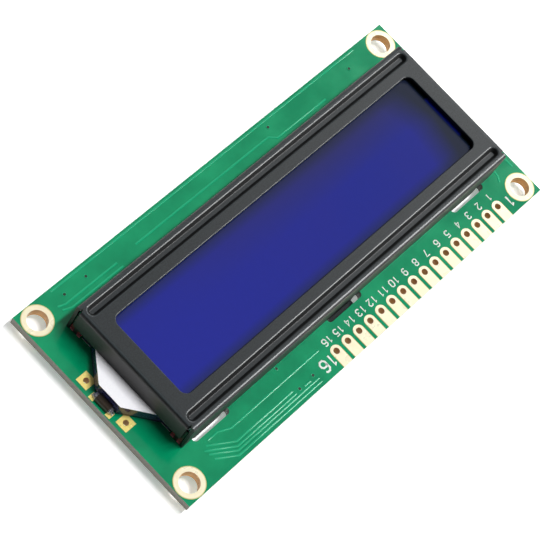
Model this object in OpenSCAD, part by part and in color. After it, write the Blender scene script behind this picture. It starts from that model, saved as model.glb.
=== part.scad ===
// Character display module: a glass display in a pressed steel bezel, clamped by folded tabs
// on a drilled circuit board, with an edge light and rubber contact strips.
// +X runs along the text, +Y points to the pin row, +Z faces the reader. The origin is the
// centre of the four corner holes, on the board's back face.

/* [Circuit board] */
// Board length, along the text
board_len = 80; // [79:0.5:90]
// Board width, from the lower edge to the pin row's edge
board_wid = 36; // [35.5:0.5:44]
// Board thickness
board_thk = 1.6; // [1:0.2:2]
// Corner hole spacing along the board
hole_dx = 75; // [74.5:0.5:75]
// Corner hole spacing across the board
hole_dy = 31; // [30.5:0.5:31]
// Corner hole diameter, inside the plating
hole_d = 3.2; // [2.5:0.1:3.5]
// Diameter of the plated ring round each corner hole
ring_d = 4.9; // [4.3:0.1:4.9]
// Thickness of the copper plating and lands
plating = 0.05; // [0.03:0.01:0.08]

/* [Pin row] */
// Number of pin holes
pin_count = 16; // [14:1:16]
// Pin pitch
pin_pitch = 2.54; // [2:0.01:2.54]
// Pin hole diameter, inside the plating
pin_d = 1; // [0.8:0.05:1.1]
// Distance from the board's left end to the first pin
first_pin = 8; // [8:0.5:10]
// Distance from the pin row to the board's edge
pin_edge = 2.5; // [1.5:0.1:2.5]
// Width of a pin land
land_wid = 1.95; // [1.6:0.05:1.95]

/* [Bezel] */
// Bezel length
bezel_len = 70.6; // [70.6:0.1:71.4]
// Bezel width
bezel_wid = 23.6; // [23.6:0.1:24]
// Bezel height above the board
bezel_hgt = 7; // [6.8:0.1:7.6]
// Thickness of the steel sheet
sheet = 0.5; // [0.4:0.05:0.5]
// Outer radius of the folds round the top
fold_r = 0.7; // [0.6:0.05:0.75]
// Shift of the display's centre line from the board's, towards the lower edge
display_shift = 0.6; // [0.4:0.1:0.7]
// Window length
window_len = 64.5; // [60:0.5:64.5]
// Window width
window_wid = 14.8; // [13:0.2:15]
// Radius of the window's corners
window_r = 1.2; // [0.6:0.1:2]
// Length of the two pressed grooves at the bezel's top face
groove_len = 69.1; // [60.1:0.2:69.1]
// Distance from the display's centre line to each groove
groove_y = 10; // [9.9:0.05:10]
// Depth of the grooves
groove_depth = 0.7; // [0.4:0.05:0.8]
// Width of a groove at the bezel's top face, with its rounded lips
groove_wid = 2.1; // [1.9:0.05:2.1]
// Radius of a groove's rounded lips
press_r = 0.4; // [0.25:0.05:0.45]
// Height of the gap under the bezel's end walls
end_gap = 2.62; // [2.62:0.05:3]

/* [Bezel tabs] */
// Distance from the middle tab to each outer tab
tab_dx = 29; // [26:0.5:29]
// Width of a tab
tab_wid = 5; // [3:0.5:6]
// Length of a tab's folded foot
tab_foot = 1.7; // [1.2:0.1:2]
// Length of a tab's slot in the board
slot_len = 7.4; // [7.4:0.1:8]
// Width of a tab's slot in the board
slot_wid = 1.25; // [0.9:0.05:1.3]

/* [Display glass] */
// Thickness of each glass plate
glass_thk = 1.1; // [0.7:0.1:1.1]
// Length of both glass plates
glass_len = 69; // [67:0.5:69]
// Width of the front glass, with its contact ledges
front_wid = 22.4; // [21:0.2:22.4]
// Width of the rear glass
rear_wid = 17.4; // [16.8:0.2:18]
// Thickness of each polarizer and of the diffuser
film_thk = 0.2; // [0.1:0.05:0.25]
// Gap between the two glass plates, filled by the seal
cell_gap = 0.05; // [0.02:0.01:0.08]
// Thickness of each contact strip
strip_thk = 1.9; // [1.5:0.1:1.9]

/* [Edge light] */
// Width of the light guide
guide_wid = 18; // [16:0.5:18]
// Distance from the board's middle to the guide's tip
guide_tip = 38.5; // [38:0.1:38.6]
// Width of the guide's tip
tip_wid = 4.4; // [3.6:0.2:4.4]
// Width of the funnel where it leaves the plate
funnel_wid = 14.6; // [12:0.2:14.6]
// Height of the funnel's top above the board
funnel_hgt = 2.5; // [2:0.1:2.5]
// Length of the light-emitting diode
led_len = 3.4; // [2.8:0.1:3.8]
// Distance between the two backlight holes
light_pitch = 8.1; // [7.8:0.1:9]

/* [Back of the board] */
// Diameter of the controller's resin cap
controller_d = 14.5; // [12:0.5:15]
// Diameter of the driver's resin cap
driver_d = 12.5; // [10:0.5:13]
// Height of both resin caps
cap_hgt = 1.5; // [1.2:0.1:1.8]

/* [Hidden] */
$fn = 64;

// Everything above the board is built from its top face and about the display's centre line.
fold_in = fold_r - sheet;
wall_y = bezel_wid / 2;
wall_x = bezel_len / 2;
lip_wid = 0.5;
lip_r = 0.15;
flange = 0.05;
seam = 0.05;
groove_floor = 0.5;
floor_r = 0.15;
side_relief = 0.5;
end_relief = 1;
slot_y = wall_y + 0.1;
tab_fold_side = [-1, 1, -1];

// The display's layers, as heights above the board's top face
glass_top = bezel_hgt - sheet - groove_depth;
front_z = glass_top - glass_thk;
rear_z = front_z - cell_gap - glass_thk;
rear_film_z = rear_z - film_thk;
diffuser_z = rear_film_z - film_thk;
reflector_thk = 0.15;
cover_thk = 0.1;
guide_end = wall_x - sheet - 0.4;
film_inset = 0.9;
polarizer_margin = 1;
seal_margin = 0.3;
seal_wid = 1;
port_wid = 4;
ledge = 0.6;
fingers = 48;
finger_pitch = 1.4;
finger_wid = 0.8;

// The backlight's holes, lands and diode
light_x = 38.35;
light_land = 2.1;
light_d = 0.9;
led_depth = 1.05;
led_hgt = 1;
led_land = 0.9;
lead_wid = 0.45;
led_chamfer = 0.25;
lead_drop = 0.2;

// The chips on the back: middle, in X and Y, and whether they lie along Y
resistors = [[-28, 6, 1], [-25, 6, 1], [-22, 6, 1], [25, 5, 1], [28, 5, 1], [27, -8, 0]];
capacitors = [[-26, -8, 0], [11, 11.4, 0]];
resistor_size = [2, 1.25, 0.5];
capacitor_size = [2, 1.25, 0.85];
controller_at = [-11, 0.5];
driver_at = [13, -1.5];
solder_reach = 0.5;

function row_y() = board_wid / 2 - pin_edge;
function pin_x(i) = first_pin - board_len / 2 + i * pin_pitch;
function arc(cx, cy, r, a0, a1, n = 6) =
    [for (i = [0:n]) [cx + r * cos(a0 + (a1 - a0) * i / n), cy + r * sin(a0 + (a1 - a0) * i / n)]];

// Places its children on the display's centre line, at a height above the board's top face.
module on_board(z = 0) {
    translate([0, -display_shift, board_thk + z]) children();
}

module at_corners() {
    for (x = [-1, 1], y = [-1, 1])
        translate([x * hole_dx / 2, y * hole_dy / 2, 0]) children();
}

module at_pins() {
    for (i = [0:pin_count - 1])
        translate([pin_x(i), row_y(), 0]) children();
}

module at_light_holes() {
    for (y = [-1, 1])
        translate([light_x, y * light_pitch / 2 - display_shift, 0]) children();
}

// A round-ended slot in plan, length overall, about its middle
module slot(len, wid) {
    square([len - wid, wid], center = true);
    for (x = [-1, 1])
        translate([x * (len - wid) / 2, 0]) circle(d = wid);
}

// A rectangle in plan with round corners, about its middle
module rounded(len, wid, r) {
    square([len - 2 * r, wid], center = true);
    square([len, wid - 2 * r], center = true);
    for (x = [-1, 1], y = [-1, 1])
        translate([x * (len / 2 - r), y * (wid / 2 - r)]) circle(r);
}

// A plated hole: a tube through the board, with the land in plan on both faces
module plated_hole(d) {
    difference() {
        union() {
            cylinder(d = d + 2 * plating, h = board_thk);
            for (z = [-plating, board_thk])
                translate([0, 0, z]) linear_extrude(plating) children();
        }
        translate([0, 0, -1]) cylinder(d = d, h = board_thk + 2);
    }
}

module circuit_board() {
    color([0.11, 0.56, 0.38]) difference() {
        translate([-board_len / 2, -board_wid / 2, 0]) cube([board_len, board_wid, board_thk]);
        translate([0, 0, -1]) {
            at_corners() cylinder(d = hole_d + 2 * plating, h = board_thk + 2);
            at_pins() cylinder(d = pin_d + 2 * plating, h = board_thk + 2);
            at_light_holes() cylinder(d = light_d + 2 * plating, h = board_thk + 2);
            for (x = [-tab_dx, 0, tab_dx], y = [-1, 1])
                translate([x, y * slot_y - display_shift, 0])
                    linear_extrude(board_thk + 2) slot(slot_len, slot_wid);
        }
    }
}

module corner_plating() {
    color([0.93, 0.85, 0.55]) at_corners() plated_hole(hole_d) circle(d = ring_d);
}

// Each pin's land is round behind the hole and runs straight to the board's edge.
module pin_plating() {
    color([0.93, 0.85, 0.55]) at_pins() plated_hole(pin_d) {
        circle(d = land_wid);
        translate([-land_wid / 2, 0]) square([land_wid, pin_edge]);
    }
}

// The backlight's two holes, and the two small lands that its diode is soldered to
module light_plating() {
    color([0.9, 0.74, 0.35]) {
        at_light_holes() plated_hole(light_d) square(light_land, center = true);
        for (y = [-1, 1])
            on_board() translate([guide_tip + 0.2, y * led_len / 2 - led_land / 2, 0])
                cube([led_depth + 0.1, led_land, plating]);
    }
}

module contact_fingers() {
    color([0.9, 0.74, 0.35]) for (i = [0:fingers - 1], y = [-1, 1])
        on_board() translate([(i - (fingers - 1) / 2) * finger_pitch - finger_wid / 2,
                              y * strip_y() - strip_thk / 2, 0])
            cube([finger_wid, strip_thk, plating]);
}

// The slope of a groove's wall, which runs straight from the lip's arc to the floor's
function groove_slope() =
    let (across = (groove_wid - groove_floor) / 2, down = groove_depth - press_r - floor_r)
    atan2(down, across) + asin((press_r + floor_r) / norm([across, down]));

// Half of a groove's cross-section, from its middle outwards: the floor, wall and rounded lip
// above, and the pressed sheet's underside below
function groove_half() = concat(
    arc(groove_floor / 2, floor_r - groove_depth, floor_r, -90, groove_slope() - 90),
    arc(groove_wid / 2, -press_r, press_r, 90 + groove_slope(), 90),
    [[groove_wid / 2 + flange, 0], [groove_wid / 2 + flange, -sheet]],
    arc(groove_floor / 2, floor_r - groove_depth, floor_r + sheet, groove_slope() - 90, -90),
    [[0, -sheet - groove_depth], [0, -groove_depth]]);

module groove() {
    straight = groove_len - groove_wid;
    rotate([90, 0, 90]) translate([0, 0, -straight / 2]) linear_extrude(straight) {
        polygon(groove_half());
        mirror([1, 0]) polygon(groove_half());
    }
    for (side = [0, 180])
        rotate(side) translate([straight / 2, 0, 0])
            rotate(-90) rotate_extrude(angle = 180) polygon(groove_half());
}

// The cross-section of the window's blanked edge, rounded on top, from the opening outwards
module window_edge() {
    polygon(concat([[0, -sheet], [lip_wid, -sheet], [lip_wid, 0]],
                   arc(lip_r, -lip_r, lip_r, 90, 180)));
}

module window_lip() {
    long = window_len - 2 * window_r;
    short = window_wid - 2 * window_r;
    for (side = [0, 180]) rotate(side) {
        translate([-long / 2, window_wid / 2, 0])
            rotate([90, 0, 90]) linear_extrude(long) window_edge();
        translate([window_len / 2, short / 2, 0])
            rotate([90, 0, 0]) linear_extrude(short) window_edge();
    }
    for (c = [[1, 1, 0], [-1, 1, 90], [-1, -1, 180], [1, -1, 270]])
        translate([c[0] * long / 2, c[1] * short / 2, 0])
            rotate(c[2]) rotate_extrude(angle = 90) translate([window_r, 0]) window_edge();
}

// A fold's cross-section: a quarter bend from the flat top, then the wall down to its foot
module fold_profile(foot) {
    drop = bezel_hgt - foot;
    translate([-fold_r, -fold_r]) intersection() {
        difference() {
            circle(fold_r);
            circle(fold_in);
        }
        square(fold_r);
    }
    translate([-sheet, -drop]) square([sheet, drop - fold_r]);
    translate([-fold_r - seam, -sheet]) square([seam, sheet]);
}

// A tab's cross-section: down through its slot, then folded flat against the board's back.
// The fold turns inwards when side is -1 and outwards when it is 1.
module tab_profile(side) {
    turn = side < 0 ? -sheet : 0;
    translate([-sheet, -board_thk]) square([sheet, board_thk + seam]);
    translate([turn, -board_thk]) intersection() {
        circle(sheet);
        translate([side < 0 ? 0 : -sheet, -sheet]) square(sheet);
    }
    translate([side < 0 ? -tab_foot : 0, -board_thk - sheet])
        square([tab_foot - sheet, sheet]);
}

module bezel() {
    color([0.2, 0.21, 0.22]) on_board() {
        translate([0, 0, bezel_hgt]) {
            // the flat top, cut out round the window's lip and both grooves
            difference() {
                translate([0, 0, -sheet]) linear_extrude(sheet)
                    square([bezel_len - 2 * fold_r, bezel_wid - 2 * fold_r], center = true);
                translate([0, 0, -sheet - 1]) linear_extrude(sheet + 2) {
                    rounded(window_len + 2 * lip_wid - seam, window_wid + 2 * lip_wid - seam,
                            window_r + lip_wid - seam / 2);
                    for (y = [-1, 1])
                        translate([0, y * groove_y])
                            slot(groove_len + flange, groove_wid + flange);
                }
            }
            window_lip();
            for (y = [-1, 1]) translate([0, y * groove_y, 0]) groove();
            // the side walls reach the board, the end walls leave room for the light guide
            for (side = [0, 180]) rotate(side) {
                side_len = bezel_len - 2 * side_relief;
                end_len = bezel_wid - 2 * end_relief;
                translate([-side_len / 2, wall_y, 0])
                    rotate([90, 0, 90]) linear_extrude(side_len) fold_profile(0);
                translate([wall_x, end_len / 2, 0])
                    rotate([90, 0, 0]) linear_extrude(end_len) fold_profile(end_gap);
            }
        }
        for (side = [0, 180], i = [0:2])
            rotate(side) translate([(i - 1) * tab_dx - tab_wid / 2, wall_y, 0])
                rotate([90, 0, 90]) linear_extrude(tab_wid) tab_profile(tab_fold_side[i]);
    }
}

// A plain layer of the display, about its centre line
module layer(len, wid, z, thk) {
    on_board(z) translate([-len / 2, -wid / 2, 0]) cube([len, wid, thk]);
}

module front_polarizer() {
    color([0.1, 0.1, 0.45]) layer(glass_len - 2 * polarizer_margin,
                                   2 * groove_y - groove_wid - polarizer_margin,
                                   glass_top, film_thk);
}

module front_glass() {
    color([0.6, 0.7, 0.75]) layer(glass_len, front_wid, front_z, glass_thk);
}

// The seal is a thin frame of resin, open at one end where the cell was filled.
module cell_seal() {
    color([0.75, 0.72, 0.6]) on_board(front_z - cell_gap) linear_extrude(cell_gap) difference() {
        square([glass_len, rear_wid] - 2 * seal_margin * [1, 1], center = true);
        square([glass_len, rear_wid] - 2 * (seal_margin + seal_wid) * [1, 1], center = true);
        translate([-glass_len / 2, 0]) square([3 * seal_wid, port_wid], center = true);
    }
}

// A bead of clear resin closes the filling port at the glass's far end.
module port_seal() {
    color([0.85, 0.83, 0.7]) on_board(rear_z + glass_thk / 2)
        translate([-glass_len / 2, 0, 0]) linear_extrude(glass_thk + cell_gap)
            intersection() {
                scale([0.04, 1]) circle(d = 7);
                translate([-1, -4]) square([1, 8]);
            }
}

module rear_glass() {
    color([0.6, 0.7, 0.75]) layer(glass_len, rear_wid, rear_z, glass_thk);
}

module rear_polarizer() {
    color([0.1, 0.1, 0.45]) layer(glass_len - 2 * polarizer_margin,
                                   rear_wid - polarizer_margin, rear_film_z, film_thk);
}

function strip_y() = wall_y - sheet - 0.1 - strip_thk / 2;

module contact_strip(side) {
    color([0.85, 0.45, 0.5]) on_board(plating)
        translate([-wall_x + ledge, side * strip_y() - strip_thk / 2, 0])
            cube([bezel_len - 2 * ledge, strip_thk, front_z - plating]);
}

module contact_strip_upper() { contact_strip(1); }
module contact_strip_lower() { contact_strip(-1); }

module diffuser_film() {
    color([0.9, 0.92, 0.95]) layer(2 * guide_end, guide_wid - polarizer_margin,
                                   diffuser_z, film_thk);
}

// The guide in plan: a plate as long as the glass, and a funnel that narrows to the diode.
// The inset makes the funnel narrower on both sides.
module guide_plan(inset) {
    plate = guide_wid / 2;
    root = funnel_wid / 2 - inset;
    tip = tip_wid / 2 - inset;
    polygon([[-guide_end, -plate], [guide_end, -plate], [guide_end, -root], [guide_tip, -tip],
             [guide_tip, tip], [guide_end, root], [guide_end, plate], [-guide_end, plate]]);
}

module light_guide() {
    color([0.85, 0.9, 0.95]) on_board(reflector_thk) {
        linear_extrude(funnel_hgt - reflector_thk) guide_plan(0);
        linear_extrude(diffuser_z - reflector_thk)
            square([2 * guide_end, guide_wid], center = true);
    }
}

// The film's funnel is narrower than the guide's, so that it lies between the backlight's lands.
module reflector_film() {
    color("white") on_board() linear_extrude(reflector_thk) guide_plan(film_inset);
}

module funnel_cover() {
    color("white") on_board(funnel_hgt) linear_extrude(cover_thk)
        polygon([[guide_end, -funnel_wid / 2], [guide_tip, -tip_wid / 2],
                 [guide_tip, tip_wid / 2], [guide_end, funnel_wid / 2]]);
}

// The diode is a side-view package: its window faces the guide's tip.
module led_housing() {
    color([0.16, 0.15, 0.13]) on_board(plating)
        translate([guide_tip, led_len / 2 - lead_wid, 0])
            rotate([90, 0, 0]) linear_extrude(led_len - 2 * lead_wid)
                polygon([[0, 0], [led_depth, 0], [led_depth, led_hgt - led_chamfer],
                         [led_depth - led_chamfer, led_hgt], [0, led_hgt]]);
}

module led_leads() {
    color([0.8, 0.8, 0.8]) on_board(plating) for (y = [-1, 1])
        translate([guide_tip + 0.1, y * (led_len - lead_wid) / 2 + lead_wid / 2, 0])
            rotate([90, 0, 0]) linear_extrude(lead_wid)
                polygon([[0, 0], [led_depth - lead_drop, 0], [led_depth - lead_drop, led_hgt / 2],
                         [led_depth - lead_drop - led_chamfer, led_hgt - lead_drop],
                         [0, led_hgt - lead_drop]]);
}

// A fillet of solder: a right corner filled to a hollow curve
module fillet(reach, rise, len) {
    rotate([90, 0, 0]) translate([0, 0, -len / 2]) linear_extrude(len) difference() {
        square([reach, rise]);
        translate([reach, rise]) scale([reach - 0.1, rise - 0.1]) circle(1);
    }
}

module led_solder() {
    color([0.75, 0.75, 0.76]) on_board(plating) for (y = [-1, 1])
        translate([guide_tip + 0.5, y * led_len / 2, 0])
            rotate(y * 90) fillet(led_land / 2 - 0.1, 0.5, 0.6);
}

// A resin cap: a low flat-topped dome on the board's back, revolved
module resin_cap(at, d) {
    shoulder = d * 0.3;
    color([0.06, 0.06, 0.06]) translate([at[0], at[1], 0]) mirror([0, 0, 1])
        rotate_extrude() {
            square([d / 2 - shoulder, cap_hgt]);
            translate([d / 2 - shoulder, 0]) intersection() {
                scale([shoulder, cap_hgt]) circle(1);
                square([shoulder, cap_hgt]);
            }
        }
}

module controller_cap() { resin_cap(controller_at, controller_d); }
module driver_cap() { resin_cap(driver_at, driver_d); }

module at_chip(c) {
    translate([c[0], c[1], 0]) rotate(c[2] * 90) children();
}

module chip(c, size, tint) {
    color(tint) at_chip(c) translate([-size[0] / 2, -size[1] / 2, -size[2]]) cube(size);
}

module resistor(i) { chip(resistors[i - 1], resistor_size, [0.1, 0.1, 0.1]); }
module capacitor(i) { chip(capacitors[i - 1], capacitor_size, [0.72, 0.6, 0.45]); }

module chip_joints(c, size) {
    for (side = [0, 180])
        at_chip(c) rotate(side) translate([size[0] / 2, 0, 0]) mirror([0, 0, 1])
            fillet(solder_reach, size[2] * 0.8, size[1]);
}

module chip_solder() {
    color([0.75, 0.75, 0.76]) {
        for (c = resistors) chip_joints(c, resistor_size);
        for (c = capacitors) chip_joints(c, capacitor_size);
    }
}

circuit_board();
corner_plating();
pin_plating();
light_plating();
contact_fingers();
bezel();
front_polarizer();
front_glass();
cell_seal();
port_seal();
rear_glass();
rear_polarizer();
contact_strip_upper();
contact_strip_lower();
diffuser_film();
light_guide();
reflector_film();
funnel_cover();
led_housing();
led_leads();
led_solder();
controller_cap();
driver_cap();
resistor(1);  // resistor_1
resistor(2);  // resistor_2
resistor(3);  // resistor_3
resistor(4);  // resistor_4
resistor(5);  // resistor_5
resistor(6);  // resistor_6
capacitor(1);  // capacitor_1
capacitor(2);  // capacitor_2
chip_solder();
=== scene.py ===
import math

import bpy
from mathutils import Matrix, Vector


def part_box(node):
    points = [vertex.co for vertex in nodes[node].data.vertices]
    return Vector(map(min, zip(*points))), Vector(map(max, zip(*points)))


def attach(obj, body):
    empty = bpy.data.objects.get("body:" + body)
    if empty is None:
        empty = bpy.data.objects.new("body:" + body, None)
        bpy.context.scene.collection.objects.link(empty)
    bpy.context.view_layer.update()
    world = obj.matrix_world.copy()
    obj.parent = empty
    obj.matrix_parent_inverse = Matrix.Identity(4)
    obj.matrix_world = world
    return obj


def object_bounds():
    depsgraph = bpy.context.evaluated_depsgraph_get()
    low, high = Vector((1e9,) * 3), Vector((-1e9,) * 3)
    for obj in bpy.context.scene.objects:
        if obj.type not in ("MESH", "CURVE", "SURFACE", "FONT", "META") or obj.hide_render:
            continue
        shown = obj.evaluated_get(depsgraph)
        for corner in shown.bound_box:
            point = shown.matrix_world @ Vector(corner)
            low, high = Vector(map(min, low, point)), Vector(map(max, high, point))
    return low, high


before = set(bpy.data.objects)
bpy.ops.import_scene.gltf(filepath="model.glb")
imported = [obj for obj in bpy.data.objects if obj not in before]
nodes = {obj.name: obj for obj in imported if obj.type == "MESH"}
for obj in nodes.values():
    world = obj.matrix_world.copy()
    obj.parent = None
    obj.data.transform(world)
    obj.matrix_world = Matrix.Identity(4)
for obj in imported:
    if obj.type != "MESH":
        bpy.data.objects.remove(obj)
cad_low, cad_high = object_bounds()


# ---- Camera ------------------------------------------------------------------------------
# A long lens looks down on the module from its light's end, rolled so that the display runs
# from the lower left to the upper right.
camera_place = Vector((0.173419, 0.033869, 0.294055))
camera_right = Vector((-0.659933, 0.687105, 0.303934))
camera_up = Vector((-0.563254, -0.720169, 0.405093))
camera_lens = 152.375
sensor_width = 36

camera_data = bpy.data.cameras.new("camera")
camera_data.lens = camera_lens
camera_data.sensor_width = sensor_width
camera_data.clip_start = 0.01
camera = bpy.data.objects.new("camera", camera_data)
turn = Matrix((camera_right, camera_up, camera_right.cross(camera_up))).transposed()
camera.matrix_world = Matrix.Translation(camera_place) @ turn.to_4x4()
bpy.context.scene.collection.objects.link(camera)
bpy.context.scene.camera = camera


# ---- Circuit board -----------------------------------------------------------------------
# Glass-fibre laminate under a glossy green solder mask, which mirrors the bezel's dark walls
# beside them. The sawn edges and slots show the bare yellow-brown laminate.
MM = 0.001
board_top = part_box("circuit_board")[1].z


def screen_colour(red, green, blue):
    """An 8-bit display colour as linear light, with its alpha."""
    levels = []
    for value in (red, green, blue):
        value /= 255
        levels.append(value / 12.92 if value <= 0.04045 else ((value + 0.055) / 1.055) ** 2.4)
    return (*levels, 1)


class Finish:
    """A material under construction: its shader, and short ways to add and join nodes."""

    NOISE_ROUGHNESS = 0.55

    def __init__(self, name, colour, roughness, metallic=0):
        self.material = bpy.data.materials.new(name)
        self.material.use_nodes = True
        self.tree = self.material.node_tree
        self.shader = self.tree.nodes["Principled BSDF"]
        self.shader.inputs["Base Color"].default_value = colour
        self.shader.inputs["Roughness"].default_value = roughness
        self.shader.inputs["Metallic"].default_value = metallic
        self.place = self.add("ShaderNodeTexCoord").outputs["Object"]

    def add(self, kind, **settings):
        """Adds a node and sets its properties."""
        node = self.tree.nodes.new(kind)
        for name, value in settings.items():
            setattr(node, name, value)
        return node

    def join(self, source, target):
        """Links an output to a socket, or gives the socket a plain value."""
        if isinstance(source, (int, float, tuple)):
            target.default_value = source
        else:
            self.tree.links.new(source, target)

    def maths(self, operation, first, second=0.0, third=0.0):
        """One step of arithmetic on numbers or outputs."""
        node = self.add("ShaderNodeMath", operation=operation)
        for value, socket in zip((first, second, third), node.inputs):
            self.join(value, socket)
        return node.outputs[0]

    def axes(self):
        """The place on the object, as x, y and z."""
        node = self.add("ShaderNodeSeparateXYZ")
        self.join(self.place, node.inputs[0])
        return node.outputs

    def noise(self, period, detail=3.0, stretch=(1, 1, 1)):
        """Noise whose features are about period metres across."""
        mapping = self.add("ShaderNodeMapping")
        self.join(self.place, mapping.inputs["Vector"])
        mapping.inputs["Scale"].default_value = [s / period for s in stretch]
        node = self.add("ShaderNodeTexNoise")
        self.join(mapping.outputs[0], node.inputs["Vector"])
        node.inputs["Scale"].default_value = 1
        node.inputs["Detail"].default_value = detail
        node.inputs["Roughness"].default_value = self.NOISE_ROUGHNESS
        return node.outputs["Fac"]

    def span(self, value, low, high, to_low=0.0, to_high=1.0):
        """Maps a value from one span to another, held at both ends."""
        node = self.add("ShaderNodeMapRange", clamp=True)
        for source, socket in zip((value, low, high, to_low, to_high), node.inputs):
            self.join(source, socket)
        return node.outputs[0]

    def blend(self, share, first, second):
        """A colour between two, which is the second where the share is 1."""
        node = self.add("ShaderNodeMix", data_type="RGBA")
        self.join(share, node.inputs[0])
        # The node's colour sockets are inputs 6 and 7, and output 2.
        self.join(first, node.inputs[6])
        self.join(second, node.inputs[7])
        return node.outputs[2]

    def colour(self, source):
        self.join(source, self.shader.inputs["Base Color"])

    def rough(self, source):
        self.join(source, self.shader.inputs["Roughness"])

    def bump(self, height, depth, strength=1.0):
        """Relief of that depth in metres, from a height between 0 and 1."""
        node = self.add("ShaderNodeBump")
        node.inputs["Distance"].default_value = depth
        node.inputs["Strength"].default_value = strength
        self.join(height, node.inputs["Height"])
        self.join(node.outputs[0], self.shader.inputs["Normal"])

    def upright(self):
        """How far the surface faces up or down, from 0 at a wall to 1."""
        split = self.add("ShaderNodeSeparateXYZ")
        self.join(self.add("ShaderNodeNewGeometry").outputs["True Normal"], split.inputs[0])
        return self.maths("ABSOLUTE", split.outputs[2])


def give(finish, *names):
    """Puts a finish on CAD nodes."""
    for name in names:
        nodes[name].data.materials.clear()
        nodes[name].data.materials.append(finish.material)


MASK_LIGHT = screen_colour(8, 150, 100)
MASK_DARK = screen_colour(0, 132, 88)
LAMINATE = screen_colour(98, 90, 62)

mask = Finish("solder_mask", MASK_LIGHT, 0.14)
cloud = mask.noise(5 * MM, detail=4)
green = mask.blend(mask.span(cloud, 0.35, 0.7), MASK_DARK, MASK_LIGHT)
fibres = mask.noise(0.35 * MM, detail=2, stretch=(1, 4, 1))
sawn = mask.blend(fibres, LAMINATE, screen_colour(70, 70, 46))
mask.colour(mask.blend(mask.span(mask.upright(), 0.4, 0.6), sawn, green))
mask.bump(mask.noise(0.8 * MM, detail=3), 0.004 * MM)
mask.rough(mask.span(cloud, 0.3, 0.7, 0.11, 0.18))
give(mask, "circuit_board")


# ---- Covered copper tracks ---------------------------------------------------------------
# Etched copper tracks under the mask, which stand a little proud and look lighter. Each is a
# flat ribbon that follows its route over the board.
PIN_COUNT, PIN_PITCH, FIRST_PIN = 16, 2.54, -32.0
TRACK_ROUTES = [
    [(11.2, 17.3), (29, 17.3), (32.2, 15.4)],
    [(11.2, 16.7), (28.6, 16.7), (32.4, 14.4)],
    [(12.6, 16.2), (13.9, 16.2)],
    [(15.7, 16.2), (28.2, 16.2), (32.6, 13.6)],
    [(15.9, 15.6), (27.8, 15.6), (31.8, 13.2)],
    [(8.2, 13.7), (27, 13.7), (29, 12.8), (31, 12.8)],
    [(21.8, -13.85), (32.2, -13.85), (33.6, -14.4)],
    [(22.2, -14.8), (32.6, -14.8), (33.8, -15.2)],
    [(-33, -17.5), (33, -17.5)],
    [(-39.2, 12.4), (-39.2, -12.4)],
    [(-36.2, 10.4), (-36, 12), (-35.4, 12.9)],
    [(-23, -14.2), (-12, -14.2), (-10.8, -15.2), (18, -15.2)],
]
# On the back, pins 4 to 11 run down between the slots and gather at the larger cap.
GATHER_X, GATHER_SHARE = -11, 0.5
ROWS, ROW_PITCH = 5, 0.9
BACK_ROUTES = [
    [(x, 14.4), (x, 11), (GATHER_X + GATHER_SHARE * (x - GATHER_X), 8.6),
     (GATHER_X + GATHER_SHARE * (x - GATHER_X), 8.1)]
    for x in (FIRST_PIN + PIN_PITCH * pin for pin in range(3, 11))
]
BACK_ROUTES += [[(-3.1, 2.4 - drop), (0, 2.4 - drop), (1.6, 0.9 - drop), (6.2, 0.9 - drop)]
                for drop in (ROW_PITCH * row for row in range(ROWS))]
BACK_ROUTES += [[(6.1, 14.4), (6.1, 8.6), (8.2, 5.2)],
                [(19.6, 0.4), (22.6, 3.4), (23.6, 3.4)],
                [(-18.6, 1.2), (-21.8, 4), (-21.8, 4.6)]]


def track_tree():
    """Geometry nodes that turn a route into a flat ribbon of a stated width and thickness."""
    tree = bpy.data.node_groups.new("track", "GeometryNodeTree")
    face = tree.interface
    face.new_socket("Geometry", in_out="INPUT", socket_type="NodeSocketGeometry")
    for name in ("Width", "Thickness"):
        face.new_socket(name, in_out="INPUT", socket_type="NodeSocketFloat")
    face.new_socket("Material", in_out="INPUT", socket_type="NodeSocketMaterial")
    face.new_socket("Geometry", in_out="OUTPUT", socket_type="NodeSocketGeometry")
    made = {name: tree.nodes.new(kind) for name, kind in (
        ("given", "NodeGroupInput"), ("out", "NodeGroupOutput"),
        ("profile", "GeometryNodeCurvePrimitiveQuadrilateral"),
        ("sweep", "GeometryNodeCurveToMesh"), ("real", "GeometryNodeRealizeInstances"),
        ("coat", "GeometryNodeSetMaterial"))}
    made["sweep"].inputs["Fill Caps"].default_value = True
    for source, output, target, socket in (
            ("given", 0, "sweep", 0), ("given", 1, "profile", 0), ("given", 2, "profile", 1),
            ("profile", 0, "sweep", 1), ("sweep", 0, "real", 0), ("real", 0, "coat", 0),
            ("coat", 0, "out", 0)):
        tree.links.new(made[source].outputs[output], made[target].inputs[socket])
    tree.links.new(made["given"].outputs["Material"], made["coat"].inputs["Material"])
    return tree


def run_tree(name, source, tree, values):
    """Runs a tree on an object and returns its result as a plain mesh object."""
    modifier = source.modifiers.new("made", "NODES")
    modifier.node_group = tree
    for item in tree.interface.items_tree:
        if item.in_out == "INPUT" and item.name in values:
            modifier[item.identifier] = values[item.name]
    bpy.context.view_layer.update()
    evaluated = source.evaluated_get(bpy.context.evaluated_depsgraph_get())
    mesh = bpy.data.meshes.new_from_object(evaluated)
    bpy.data.objects.remove(source)
    mesh.name = name
    piece = bpy.data.objects.new(name, mesh)
    bpy.context.scene.collection.objects.link(piece)
    return piece


def track_curve(routes, height):
    """The routes as one curve object at a height, with no tilt along them."""
    curve = bpy.data.curves.new("routes", "CURVE")
    curve.dimensions = "3D"
    curve.twist_mode = "Z_UP"
    for route in routes:
        spline = curve.splines.new("POLY")
        spline.points.add(len(route) - 1)
        for point, (x, y) in zip(spline.points, route):
            point.co = (x * MM, y * MM, height, 1)
    curve_object = bpy.data.objects.new("routes", curve)
    bpy.context.scene.collection.objects.link(curve_object)
    return curve_object


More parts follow.
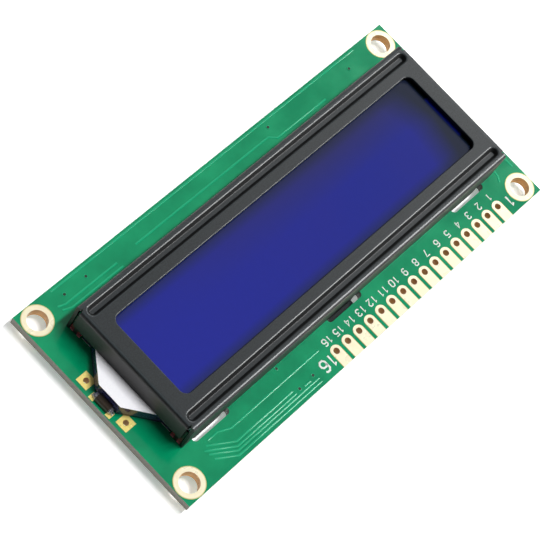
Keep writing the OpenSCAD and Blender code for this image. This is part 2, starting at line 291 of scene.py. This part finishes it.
TRACK_WIDTH, TRACK_THICKNESS = 0.36 * MM, 0.05 * MM
covered = Finish("covered_copper", screen_colour(26, 168, 118), 0.14)
patches = covered.noise(2.5 * MM)
covered.colour(covered.blend(patches, screen_colour(16, 158, 108), screen_colour(36, 178, 128)))
covered.bump(patches, 0.008 * MM)
ribbon = track_tree()
for name, routes, height in (("front_tracks", TRACK_ROUTES, board_top),
                             ("back_tracks", BACK_ROUTES, 0.0)):
    tracks = run_tree(name, track_curve(routes, height), ribbon,
                      {"Width": TRACK_WIDTH, "Thickness": TRACK_THICKNESS,
                       "Material": covered.material})
    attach(tracks, "root")


# ---- Gold-plated lands and holes ---------------------------------------------------------
# Thin gold over nickel and copper on the corner rings, the pin row, the backlight's lands and
# the fingers under the rubber strips. The ring faces are painted pale, partly as a painted
# reflection of the bright room, and the barrels deeper amber as painted shade in the holes.
CORNER_X, CORNER_Y = 37.5 * MM, 15.5 * MM
# How far out the olive rim is at its strongest, and the width over which it fades in
RING_OLIVE, RING_FADE = 2.4 * MM, 0.14 * MM
LAND_OLIVE, LAND_FADE = 0.95 * MM, 0.11 * MM
PALE_GOLD, AMBER = screen_colour(255, 247, 214), screen_colour(214, 156, 62)
BACKLIGHT_GOLD = screen_colour(255, 234, 140)
GOLD_EDGE, EDGE_SHARE = screen_colour(196, 186, 96), 0.8


def off_corner(gold):
    """Distance from the nearest corner hole's axis."""
    x, y, _ = gold.axes()
    across = gold.maths("SUBTRACT", gold.maths("ABSOLUTE", x), CORNER_X)
    along = gold.maths("SUBTRACT", gold.maths("ABSOLUTE", y), CORNER_Y)
    square = gold.maths("MULTIPLY_ADD", across, across, gold.maths("MULTIPLY", along, along))
    return gold.maths("SQRT", square)


def off_pin(gold):
    """Distance along the row from the nearest pin's middle."""
    steps = gold.maths("DIVIDE", gold.maths("SUBTRACT", gold.axes()[0], FIRST_PIN * MM),
                       PIN_PITCH * MM)
    part = gold.maths("FRACT", gold.maths("ADD", steps, 0.5))
    return gold.maths("MULTIPLY", gold.maths("ABSOLUTE", gold.maths("SUBTRACT", part, 0.5)),
                      PIN_PITCH * MM)


def gold_finish(name, face, distance=None, olive=0.0, fade=0.0):
    """Plated gold that may turn olive up to a distance; its faces are painted pale, partly as
    painted reflection, and its barrels amber as painted shade.
    """
    gold = Finish(name, face, 0.3, metallic=0.2)
    cloudy = gold.noise(2.2 * MM, detail=2)
    # Faces paler than barrels: partly painted reflection on the faces, painted shade in the
    # barrels.
    tint = gold.blend(gold.span(gold.upright(), 0.3, 0.8), AMBER, face)
    tint = gold.blend(gold.span(cloudy, 0.45, 0.8, 0.0, 0.2), tint, AMBER)
    if distance:
        edge = gold.span(distance(gold), olive - fade, olive, 0.0, EDGE_SHARE)
        tint = gold.blend(edge, tint, GOLD_EDGE)
    gold.colour(tint)
    gold.rough(gold.span(cloudy, 0.3, 0.7, 0.24, 0.38))
    gold.bump(gold.noise(0.5 * MM, detail=2), 0.002 * MM)
    return gold


give(gold_finish("ring_gold", PALE_GOLD, off_corner, RING_OLIVE, RING_FADE), "corner_plating")
give(gold_finish("pin_gold", PALE_GOLD, off_pin, LAND_OLIVE, LAND_FADE), "pin_plating")
give(gold_finish("deep_gold", BACKLIGHT_GOLD), "light_plating", "contact_fingers")


# ---- Vias --------------------------------------------------------------------------------
# Small plated holes that join the board's two faces. Each is a shallow ring of covered
# copper round a dark disc of painted shade that stands in for the hole.
VIA_PLACES = [(14.8, 16.0), (11.7, 15.85), (15.3, 11.65), (27.3, -16.1), (31.7, -16.0),
              (-12, -16.4), (-30, -15.6), (-36.6, 9.0), (-36.6, -9.6)]
VIA_RADIUS, VIA_BEAD = 0.28 * MM, 0.06 * MM
# The dark disc is painted shade for the hole inside each ring.
shade_disc = Finish("via_painted_shade", screen_colour(12, 40, 26), 0.5)
well_grain = shade_disc.noise(0.1 * MM)
shade_disc.colour(shade_disc.blend(well_grain, screen_colour(8, 30, 20), screen_colour(22, 56, 38)))
shade_disc.bump(well_grain, 0.01 * MM)


def via_tree():
    """Geometry nodes that stand one ring round a dark disc of painted shade on each given point.
    """
    tree = bpy.data.node_groups.new("vias", "GeometryNodeTree")
    face = tree.interface
    face.new_socket("Geometry", in_out="INPUT", socket_type="NodeSocketGeometry")
    for name in ("Radius", "Bead"):
        face.new_socket(name, in_out="INPUT", socket_type="NodeSocketFloat")
    for name in ("Ring material", "Shade disc material"):
        face.new_socket(name, in_out="INPUT", socket_type="NodeSocketMaterial")
    face.new_socket("Geometry", in_out="OUTPUT", socket_type="NodeSocketGeometry")
    made = {name: tree.nodes.new(kind) for name, kind in (
        ("given", "NodeGroupInput"), ("out", "NodeGroupOutput"),
        ("ring", "GeometryNodeCurvePrimitiveCircle"), ("bead", "GeometryNodeCurvePrimitiveCircle"),
        ("sweep", "GeometryNodeCurveToMesh"), ("ring_coat", "GeometryNodeSetMaterial"),
        ("shade_disc", "GeometryNodeMeshCylinder"), ("well_coat", "GeometryNodeSetMaterial"),
        ("both", "GeometryNodeJoinGeometry"), ("set", "GeometryNodeInstanceOnPoints"),
        ("real", "GeometryNodeRealizeInstances"))}
    made["ring"].inputs["Resolution"].default_value = 24
    made["bead"].inputs["Resolution"].default_value = 8
    made["shade_disc"].inputs["Vertices"].default_value = 24
    for source, output, target, socket in (
            ("given", "Geometry", "set", "Points"), ("given", "Radius", "ring", "Radius"),
            ("given", "Bead", "bead", "Radius"), ("given", "Radius", "shade_disc", "Radius"),
            ("given", "Bead", "shade_disc", "Depth"), ("ring", 0, "sweep", 0),
            ("bead", 0, "sweep", 1), ("sweep", 0, "ring_coat", 0), ("shade_disc", 0, "well_coat", 0),
            ("given", "Ring material", "ring_coat", "Material"),
            ("given", "Shade disc material", "well_coat", "Material"),
            ("ring_coat", 0, "both", 0), ("well_coat", 0, "both", 0),
            ("both", 0, "set", "Instance"), ("set", 0, "real", 0), ("real", 0, "out", 0)):
        tree.links.new(made[source].outputs[output], made[target].inputs[socket])
    return tree


via_mesh = bpy.data.meshes.new("via_points")
via_mesh.from_pydata([(x * MM, y * MM, board_top) for x, y in VIA_PLACES], [], [])
via_points = bpy.data.objects.new("via_points", via_mesh)
bpy.context.scene.collection.objects.link(via_points)
vias = run_tree("vias", via_points, via_tree(),
                {"Radius": VIA_RADIUS, "Bead": VIA_BEAD, "Ring material": covered.material,
                 "Shade disc material": shade_disc.material})
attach(vias, "root")


# ---- Printed numbers ---------------------------------------------------------------------
# White ink on the mask: a plain number above each pin hole, and larger numbers at the row's
# two ends. Each digit is drawn with strokes of one width, as screen printing does.
ink = Finish("white_ink", screen_colour(236, 240, 234), 0.6)
grains = ink.noise(0.12 * MM)
ink.colour(ink.blend(ink.span(grains, 0.5, 0.8, 0.0, 0.4), screen_colour(238, 242, 236),
                     screen_colour(150, 200, 172)))
ink.bump(grains, 0.004 * MM)
INK_HEIGHT = 0.02 * MM
PIN_NUMBER_Y, PIN_NUMBER_TALL, PIN_STROKE = 12.95, 1.1, 0.2
END_NUMBER_Y, END_NUMBER_TALL, END_STROKE = 15.15, 1.8, 0.32
END_NUMBERS = (("1", -34.35), ("16", 8.5))
# Each digit's strokes, on a grid 6 wide and 10 high
DIGITS = {
    "0": [[(1.5, 0), (4.5, 0), (6, 2), (6, 8), (4.5, 10), (1.5, 10), (0, 8), (0, 2), (1.5, 0)]],
    "1": [[(1.4, 8), (3.4, 10), (3.4, 0)]],
    "2": [[(0, 8), (1.5, 10), (4.5, 10), (6, 8), (6, 6.5), (0, 0), (6, 0)]],
    "3": [[(0, 8.5), (1.5, 10), (4.5, 10), (6, 8.5), (6, 6.5), (4.5, 5.2), (2.5, 5.2)],
          [(4.5, 5.2), (6, 3.8), (6, 1.5), (4.5, 0), (1.5, 0), (0, 1.5)]],
    "4": [[(4.5, 0), (4.5, 10), (0, 3), (6, 3)]],
    "5": [[(5.6, 10), (0.8, 10), (0.4, 5.6), (2, 6.4), (4.4, 6.4), (6, 4.8), (6, 1.6),
           (4.4, 0), (1.5, 0), (0, 1.4)]],
    "6": [[(5.4, 9), (4.2, 10), (1.8, 10), (0, 8), (0, 2), (1.6, 0), (4.4, 0), (6, 1.8),
           (6, 4), (4.4, 5.8), (1.6, 5.8), (0, 4.2)]],
    "7": [[(0, 10), (6, 10), (2.4, 0)]],
    "8": [[(1.6, 5.3), (0.3, 6.8), (0.3, 8.6), (1.6, 10), (4.4, 10), (5.7, 8.6), (5.7, 6.8),
           (4.4, 5.3), (1.6, 5.3), (0, 3.8), (0, 1.6), (1.6, 0), (4.4, 0), (6, 1.6), (6, 3.8),
           (4.4, 5.3)]],
    "9": [[(0.6, 1), (1.8, 0), (4.2, 0), (6, 2), (6, 8), (4.4, 10), (1.6, 10), (0, 8.2),
           (0, 6), (1.6, 4.2), (4.4, 4.2), (6, 5.8)]],
}
GRID_WIDTH, GRID_HEIGHT, ADVANCE = 6, 10, 8.8


def strokes(word, x, y, tall):
    """The strokes of a number centred at x and standing on y, all in millimetres."""
    unit = tall / GRID_HEIGHT
    left = x - ((len(word) - 1) * ADVANCE + GRID_WIDTH) * unit / 2
    return [[(left + (i * ADVANCE + u) * unit, y + v * unit) for u, v in stroke]
            for i, digit in enumerate(word) for stroke in DIGITS[digit]]


pin_words = [strokes(str(i + 1), FIRST_PIN + i * PIN_PITCH, PIN_NUMBER_Y, PIN_NUMBER_TALL)
             for i in range(PIN_COUNT)]
end_words = [strokes(word, x, END_NUMBER_Y, END_NUMBER_TALL) for word, x in END_NUMBERS]
for name, words, width in (("pin_numbers", pin_words, PIN_STROKE),
                           ("end_numbers", end_words, END_STROKE)):
    routes = [stroke for word in words for stroke in word]
    # A ribbon's lower half lies in the board, so it is twice as thick as the ink stands.
    numbers = run_tree(name, track_curve(routes, board_top), ribbon,
                       {"Width": width * MM, "Thickness": INK_HEIGHT * 2,
                        "Material": ink.material})
    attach(numbers, "root")


# ---- Bezel -------------------------------------------------------------------------------
# Pressed steel sheet in satin black paint, folded down on four sides and clamped by six tabs.
# The paint has a fine grain, and where the sheet turns over a lip it is a little polished and
# painted lighter, partly wear and partly a painted highlight. Its upright walls are painted near
# black as painted shade.
bezel_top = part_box("bezel")[1].z
LIP_DEPTH = 0.16 * MM
paint = Finish("bezel_paint", screen_colour(32, 38, 40), 0.4)
grain = paint.noise(0.22 * MM, detail=3)
facing = paint.upright()
flat = paint.blend(paint.span(grain, 0.3, 0.75), screen_colour(20, 24, 26),
                   screen_colour(44, 50, 53))
# Lips at the top are a little polished and painted lighter: partly wear, partly a painted
# highlight.
near_top = paint.span(paint.axes()[2], bezel_top - LIP_DEPTH, bezel_top - LIP_DEPTH / 2)
lip_wear_and_highlight = paint.maths("MULTIPLY", near_top, paint.span(facing, 0.985, 0.999, 1.0, 0.0))
turned = paint.blend(lip_wear_and_highlight, flat, screen_colour(54, 60, 62))
# Upright walls are painted near black as painted shade; the rest keeps its grain and lips.
paint.colour(paint.blend(paint.span(facing, 0.6, 0.9), screen_colour(6, 7, 7), turned))
paint.rough(paint.maths("SUBTRACT", paint.span(facing, 0.5, 0.9, 0.5, 0.4),
                        paint.maths("MULTIPLY", lip_wear_and_highlight, 0.14)))
paint.bump(grain, 0.006 * MM, 0.6)
give(paint, "bezel")


# ---- Display glass -----------------------------------------------------------------------
# A cell of two glass plates between polarizers, sealed with resin. The front film is deep
# blue. It is painted greyer near the window's edges, partly the display's border and partly
# painted shade under the bezel's lip, and towards its far end, where the display's border shows,
# as a painted reflection of the bezel's dark far end and painted shade.
film_low, film_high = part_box("front_polarizer")
film_middle = (film_low.y + film_high.y) / 2
FAR_SHADE_START, FAR_SHADE_END = -31 * MM, -26 * MM
BORDER_START, BORDER_END = -31.95 * MM, -31.65 * MM
STRIP_MIDDLE, STRIP_HALF, STRIP_FADE = 0.2 * MM, 3.6 * MM, 0.4 * MM
film = Finish("polarizer", screen_colour(26, 33, 132), 0.12)
film_x, film_y, _ = film.axes()
off_middle = film.maths("ABSOLUTE", film.maths("SUBTRACT", film_y, film_middle))
purple = film.blend(film.span(film.noise(22 * MM, detail=2), 0.35, 0.65),
                    screen_colour(22, 33, 130), screen_colour(34, 34, 124))
blue = film.blend(film.span(film_x, -24 * MM, 24 * MM), purple, screen_colour(24, 33, 138))
# Greyer towards the side away from the pins, more so over the far half.
lower_greying = film.maths("MULTIPLY", film.span(film_y, -7.5 * MM, -1.5 * MM, 0.75, 0.0),
                        film.span(film_x, -12 * MM, 22 * MM, 1.0, 0.1))
blue = film.blend(lower_greying, blue, screen_colour(42, 41, 72))
# Near the long edges the film is painted greyer: partly the display's border, partly painted shade
# under the bezel's lip.
blue = film.blend(film.span(off_middle, 5.6 * MM, 7.6 * MM, 0.0, 0.75), blue,
                  screen_colour(24, 34, 50))
# Towards the far end the film is painted greyer: painted reflection of the bezel's dark far end,
# and painted shade under it.
far_line = film.maths("SUBTRACT", film_x, film.maths("MULTIPLY", off_middle, 0.2))
blue = film.blend(film.span(far_line, FAR_SHADE_START, FAR_SHADE_END, 1.0, 0.0), blue,
                  screen_colour(24, 32, 52))
# The dark band at the far end is the display's border, partly painted shade under the window's
# edge.
off_strip = film.maths("ABSOLUTE", film.maths("SUBTRACT", film_y, STRIP_MIDDLE))
far_band = film.blend(film.span(off_strip, STRIP_HALF, STRIP_HALF + STRIP_FADE),
                    screen_colour(6, 14, 84), screen_colour(2, 8, 12))
film.colour(film.blend(film.span(film_x, BORDER_START, BORDER_END, 1.0, 0.0), blue, far_band))
film.bump(film.noise(0.3 * MM), 0.0015 * MM)
give(film, "front_polarizer", "rear_polarizer")

glass = Finish("display_glass", screen_colour(206, 226, 230), 0.05)
glass.shader.inputs["Transmission Weight"].default_value = 0.85
glass.shader.inputs["IOR"].default_value = 1.5
glass.bump(glass.noise(3 * MM), 0.001 * MM)
give(glass, "front_glass", "rear_glass")

resin = Finish("seal_resin", screen_colour(206, 198, 160), 0.5)
lumps = resin.noise(0.5 * MM)
resin.colour(resin.blend(lumps, screen_colour(190, 182, 140), screen_colour(224, 216, 182)))
resin.bump(lumps, 0.02 * MM)
give(resin, "cell_seal", "port_seal")


# ---- Contact strips ----------------------------------------------------------------------
# Strips of pink silicone rubber with a dark core of thin conducting layers, squeezed between
# the glass and the board's fingers. Only their ends show, at the bezel's corners, and above
# their pale feet they are painted near black as painted shade under the bezel's end wall.
strip_low, strip_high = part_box("contact_strip_upper")
other_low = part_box("contact_strip_lower")[0]
CORE_HALF, CORE_FADE, LAYER_PITCH = 0.3 * MM, 0.12 * MM, 0.1 * MM
strip = Finish("strip_rubber", screen_colour(124, 22, 40), 0.3)
strip_x, strip_y, strip_z = strip.axes()
strip_middle = (strip_low.y + strip_high.y) / 2
display_middle = (strip_high.y + other_low.y) / 2
from_middle = strip.maths("ABSOLUTE", strip.maths("SUBTRACT", strip_y, display_middle))
off_core = strip.maths("ABSOLUTE", strip.maths("SUBTRACT", from_middle,
                                               strip_middle - display_middle))
pink = strip.blend(strip.noise(0.5 * MM), screen_colour(132, 24, 44), screen_colour(86, 12, 26))
pale_foot = strip.span(strip_z, board_top + 0.2 * MM, board_top + 0.8 * MM, 1.0, 0.0)
pink = strip.blend(pale_foot, pink, screen_colour(224, 120, 138))
# Above the foot the rubber is painted near black: painted shade under the bezel's end wall.
shaded = strip.span(strip_z, board_top + 1.2 * MM, board_top + 2.4 * MM)
pink = strip.blend(shaded, pink, screen_colour(26, 8, 14))
strip.colour(strip.blend(strip.span(off_core, CORE_HALF, CORE_HALF + CORE_FADE),
                         screen_colour(24, 10, 12), pink))
strip.bump(strip.maths("SINE", strip.maths("MULTIPLY", strip_x, math.tau / LAYER_PITCH)),
           0.003 * MM)
give(strip, "contact_strip_upper", "contact_strip_lower")


# ---- Edge light --------------------------------------------------------------------------
# A clear acrylic guide that narrows to a funnel at the diode, between white films. The
# diode's dark package faces the funnel's tip, with tinned leads soldered to two lands.
acrylic = Finish("acrylic", screen_colour(58, 60, 112), 0.06)
acrylic.shader.inputs["Transmission Weight"].default_value = 0.6
acrylic.shader.inputs["IOR"].default_value = 1.49
acrylic.bump(acrylic.noise(1.5 * MM), 0.004 * MM)
give(acrylic, "light_guide")

white = Finish("white_film", screen_colour(246, 246, 250), 0.45)
pulp = white.noise(0.25 * MM)
white.colour(white.blend(pulp, screen_colour(240, 240, 246), screen_colour(252, 252, 254)))
white.bump(pulp, 0.003 * MM)
give(white, "funnel_cover", "diffuser_film", "reflector_film")

diode = Finish("diode_plastic", screen_colour(40, 34, 30), 0.4)
specks = diode.noise(0.15 * MM)
diode.colour(diode.blend(specks, screen_colour(26, 22, 20), screen_colour(66, 56, 44)))
diode.bump(specks, 0.01 * MM)
give(diode, "led_housing")

tin = Finish("tin", screen_colour(208, 208, 212), 0.25, metallic=0.9)
frost = tin.noise(0.2 * MM, detail=4)
tin.colour(tin.blend(frost, screen_colour(186, 186, 190), screen_colour(228, 228, 232)))
tin.rough(tin.span(frost, 0.3, 0.7, 0.16, 0.36))
tin.bump(frost, 0.01 * MM)
give(tin, "led_leads", "led_solder", "chip_solder")


# ---- Back of the board -------------------------------------------------------------------
# Two black resin caps over the driver chips, and small chips soldered beside them.
cap = Finish("cap_resin", screen_colour(24, 24, 26), 0.22)
cap.shader.inputs["Coat Weight"].default_value = 0.3
cap.shader.inputs["Coat Roughness"].default_value = 0.1
swirl = cap.noise(4 * MM)
cap.colour(cap.blend(swirl, screen_colour(18, 18, 20), screen_colour(38, 38, 40)))
cap.bump(swirl, 0.08 * MM)
cap.rough(cap.span(swirl, 0.3, 0.7, 0.16, 0.34))
give(cap, "controller_cap", "driver_cap")


def chip_finish(name, body, speckle):
    """A chip whose body is one colour, with fine speckle."""
    chip = Finish(name, body, 0.5)
    specks = chip.noise(0.12 * MM)
    chip.colour(chip.blend(specks, body, speckle))
    chip.bump(specks, 0.006 * MM)
    return chip


give(chip_finish("chip_black", screen_colour(30, 30, 32), screen_colour(52, 52, 54)),
     *[f"resistor_{i}" for i in range(1, 7)])
give(chip_finish("chip_tan", screen_colour(186, 150, 104), screen_colour(160, 124, 82)),
     "capacitor_1", "capacitor_2")


# ---- Floor and light ---------------------------------------------------------------------
# A plain white table under a row of soft lamps, in a dim room with one dark side. The lamps
# lean to the display's far end, so the light's end is in shade; two boxes give only sheen.
FLOOR_REACH, FLOOR_GAP, FLOOR_WHITE, FLOOR_GLOW = 3.0, 0.02 * MM, 0.97, 0.35
floor_mesh = bpy.data.meshes.new("floor")
floor_mesh.from_pydata([(x * FLOOR_REACH, y * FLOOR_REACH, cad_low[2] - FLOOR_GAP)
                        for x, y in ((-1, -1), (1, -1), (1, 1), (-1, 1))], [], [(0, 1, 2, 3)])
floor = bpy.data.objects.new("floor", floor_mesh)
bpy.context.scene.collection.objects.link(floor)
table_top = bpy.data.materials.new("table_top")
table_top.use_nodes = True
table = table_top.node_tree
table.nodes.remove(table.nodes["Principled BSDF"])
matte = table.nodes.new("ShaderNodeBsdfDiffuse")
matte.inputs["Color"].default_value = (FLOOR_WHITE, FLOOR_WHITE, FLOOR_WHITE, 1)
glow = table.nodes.new("ShaderNodeEmission")
glow.inputs["Color"].default_value = (1, 1, 1, 1)
# The glow is there for rays from the camera, in a reflection and through glass.
path = table.nodes.new("ShaderNodeLightPath")
seen = path.outputs["Is Camera Ray"]
for kind in ("Is Glossy Ray", "Is Transmission Ray"):
    either = table.nodes.new("ShaderNodeMath")
    either.operation = "MAXIMUM"
    table.links.new(seen, either.inputs[0])
    table.links.new(path.outputs[kind], either.inputs[1])
    seen = either.outputs[0]
strength = table.nodes.new("ShaderNodeMath")
strength.operation = "MULTIPLY"
strength.inputs[1].default_value = FLOOR_GLOW
lit = table.nodes.new("ShaderNodeAddShader")
table.links.new(seen, strength.inputs[0])
table.links.new(strength.outputs[0], glow.inputs["Strength"])
table.links.new(matte.outputs[0], lit.inputs[0])
table.links.new(glow.outputs[0], lit.inputs[1])
table.links.new(lit.outputs[0], table.nodes["Material Output"].inputs[0])
floor_mesh.materials.append(table_top)

ROOM_LIGHT, DARK_SIDE = 0.4, 0.05
DARK_START, DARK_END = -0.1, 0.5
world = bpy.data.worlds.new("dim_room")
world.use_nodes = True
room = world.node_tree
bpy.context.scene.world = world
direction = room.nodes.new("ShaderNodeTexCoord")
across = room.nodes.new("ShaderNodeSeparateXYZ")
level = room.nodes.new("ShaderNodeMapRange")
for value, socket in zip((DARK_START, DARK_END, ROOM_LIGHT, DARK_SIDE), level.inputs[1:5]):
    socket.default_value = value
room.links.new(direction.outputs["Generated"], across.inputs[0])
room.links.new(across.outputs[0], level.inputs[0])
around = room.nodes["Background"]
around.inputs["Color"].default_value = (1, 1, 1, 1)
room.links.new(level.outputs[0], around.inputs["Strength"])
backdrop = room.nodes.new("ShaderNodeBackground")
backdrop.inputs["Color"].default_value = (1, 1, 1, 1)
rays = room.nodes.new("ShaderNodeLightPath")
choose = room.nodes.new("ShaderNodeMixShader")
room.links.new(rays.outputs["Is Camera Ray"], choose.inputs[0])
room.links.new(around.outputs[0], choose.inputs[1])
room.links.new(backdrop.outputs[0], choose.inputs[2])
room.links.new(choose.outputs[0], room.nodes["World Output"].inputs[0])

LAMPS, LAMP_SPREAD, LAMP_LIGHT = 5, math.radians(4.6), 0.56
SIDE_LEAN = math.radians(10.5)
for i in range(LAMPS):
    lamp_data = bpy.data.lights.new("lamp", "SUN")
    lamp_data.energy = LAMP_LIGHT
    lamp_data.angle = LAMP_SPREAD
    lamp = bpy.data.objects.new("lamp", lamp_data)
    lean = (i + 0.5) * LAMP_SPREAD
    towards = Vector((-math.tan(lean), math.tan(SIDE_LEAN), 1))
    lamp.rotation_euler = towards.to_track_quat("Z", "Y").to_euler()
    lamp.visible_glossy = False
    bpy.context.scene.collection.objects.link(lamp)

# Each box: its name, place, size and power
BOXES = (("far_box", (-0.44, 0.0, 0.4), (0.5, 0.12), 1.15),
         ("pin_side_box", (-0.3, 0.372, 0.36), (0.25, 0.25), 3.0))
for name, place, size, power in BOXES:
    box_data = bpy.data.lights.new(name, "AREA")
    box_data.shape = "RECTANGLE"
    box_data.size, box_data.size_y = size
    box_data.energy = power
    box = bpy.data.objects.new(name, box_data)
    box.location = place
    box.rotation_euler = box.location.to_track_quat("Z", "Y").to_euler()
    box.visible_camera = box.visible_diffuse = False
    bpy.context.scene.collection.objects.link(box)
bpy.context.scene.view_settings.view_transform = "Standard"
